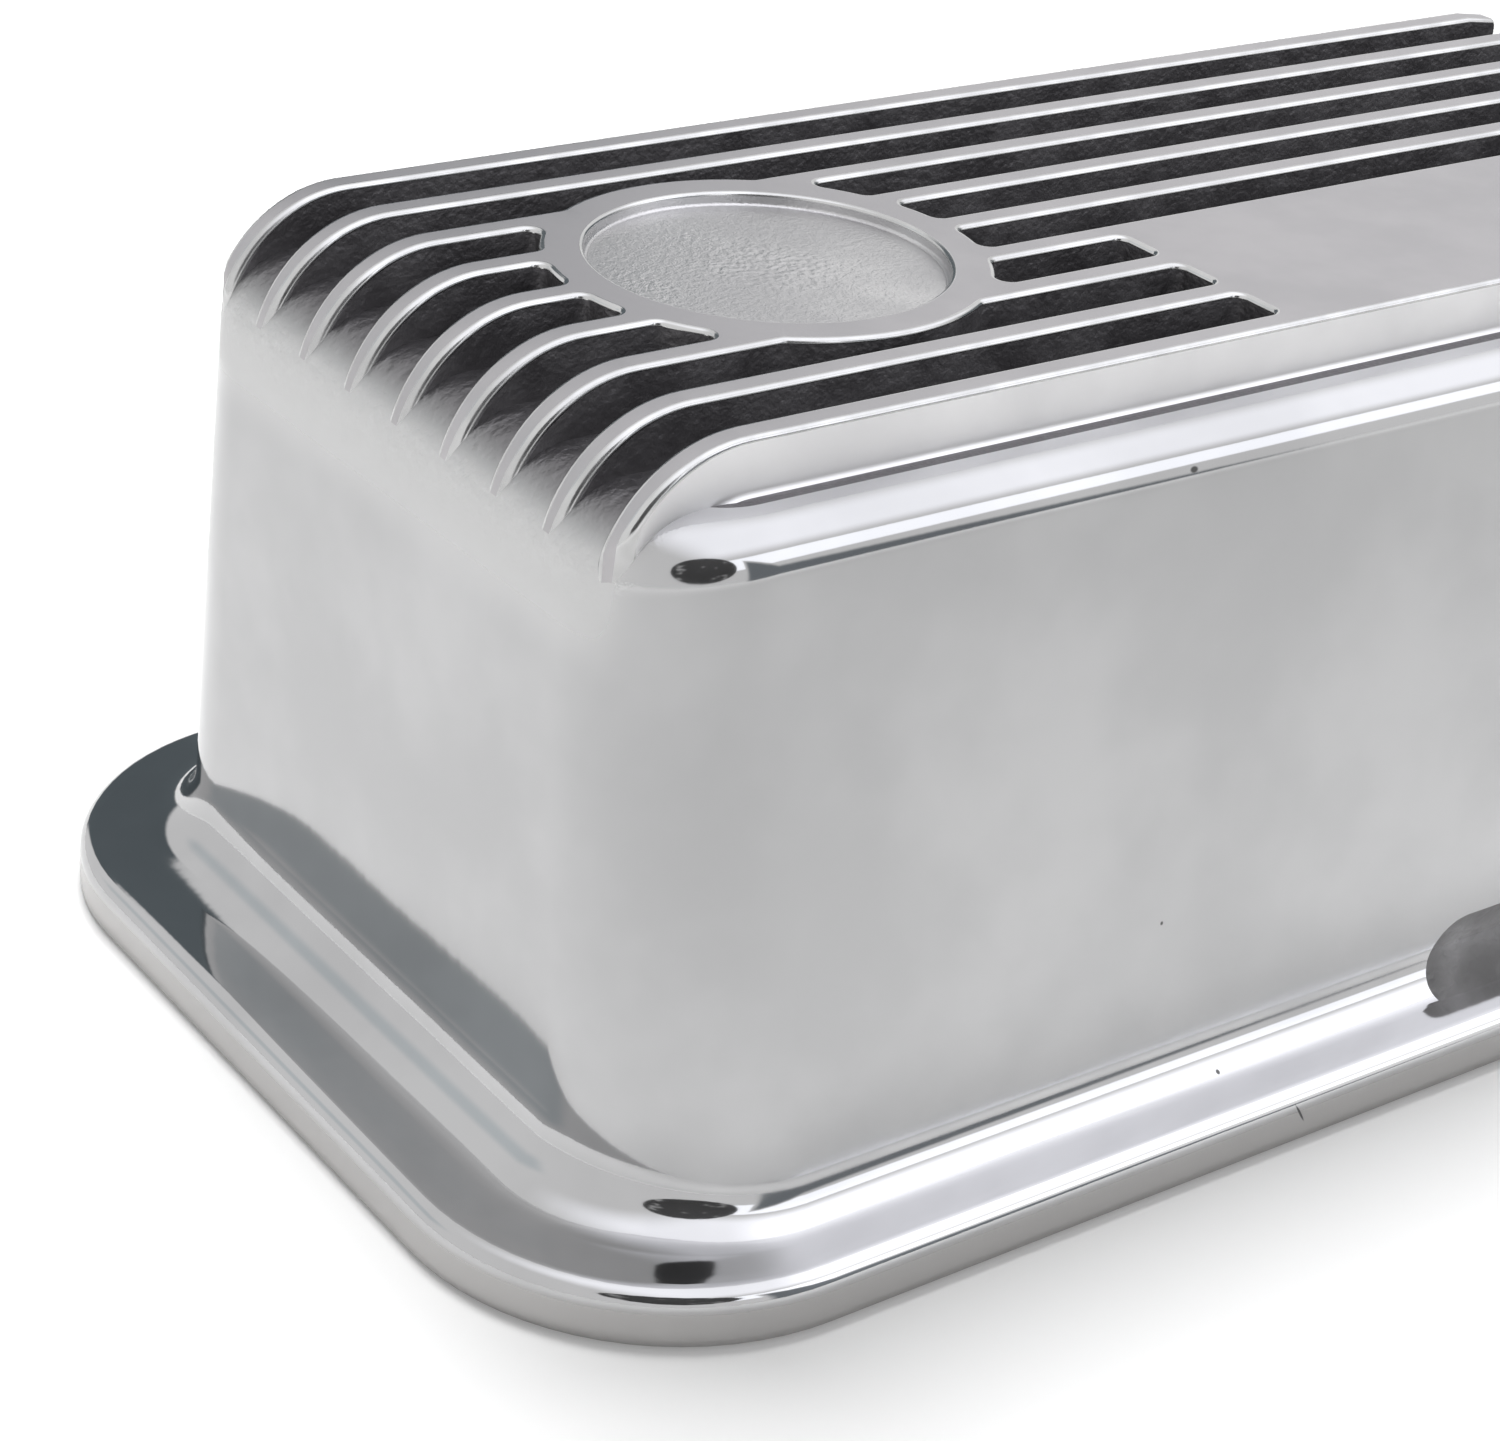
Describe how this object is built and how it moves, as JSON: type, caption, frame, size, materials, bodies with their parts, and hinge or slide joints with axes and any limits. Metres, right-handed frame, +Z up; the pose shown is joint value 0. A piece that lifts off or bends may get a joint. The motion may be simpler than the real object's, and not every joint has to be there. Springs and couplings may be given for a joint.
{
  "type": "engine valve cover",
  "caption": "Tall cast aluminium engine valve cover, an open-bottomed box with a bolted flange, a finned roof, round recesses and a bare pad.",
  "frame": {"origin": "centre of the gasket face, which is the lowest plane of the casting", "axes": "+X along the cover, +Y across it towards the side away from the pad, +Z up, away from the cylinder head"},
  "size_m": [0.52, 0.1556, 0.102],
  "materials": {
    "polished_casting": "polished"
  },
  "bodies": {
    "root": {"valve_cover_casting": "polished_casting"}
  },
  "joints": []
}
